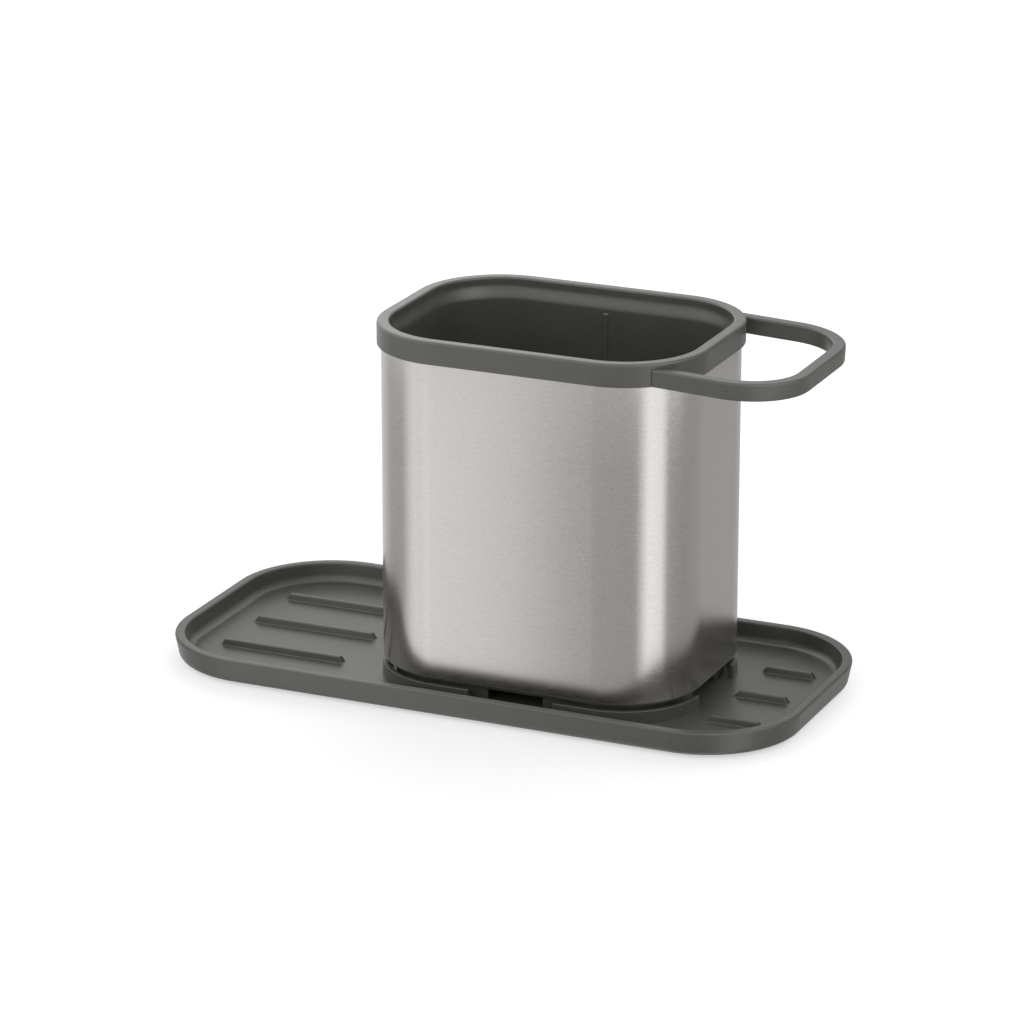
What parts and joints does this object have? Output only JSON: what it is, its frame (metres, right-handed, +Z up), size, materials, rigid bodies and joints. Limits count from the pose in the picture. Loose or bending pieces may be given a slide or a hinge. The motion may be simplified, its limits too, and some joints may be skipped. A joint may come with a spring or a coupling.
{
  "type": "sink caddy",
  "caption": "Sink caddy: a brushed steel pot for brushes with a plastic rim and a cloth rail, standing on a ribbed drip tray.",
  "frame": {"origin": "on the surface that the feet stand on, under the middle of the drip tray", "axes": "+X along the tray towards the end where the cloth rail reaches out, +Y towards the back, +Z up"},
  "size_m": [0.29, 0.1404, 0.1617],
  "materials": {
    "grey_plastic": "fine satin moulding texture, dark warm grey",
    "brushed_steel": "brushed along the pot's girth, satin",
    "soft_rubber": "matte, near black"
  },
  "bodies": {
    "tray": {"drip_tray": "grey_plastic", "foot_front_left": "soft_rubber", "foot_front_right": "soft_rubber", "foot_rear_left": "soft_rubber", "foot_rear_right": "soft_rubber"},
    "pot": {"bucket_with_rail": "grey_plastic", "steel_sleeve": "brushed_steel", "base_ring": "grey_plastic"}
  },
  "joints": [
    {"name": "pot_lift", "type": "slide", "parent": "tray", "child": "pot", "axis": [0, 0, 1], "range_m": [0, 0.1]}
  ]
}
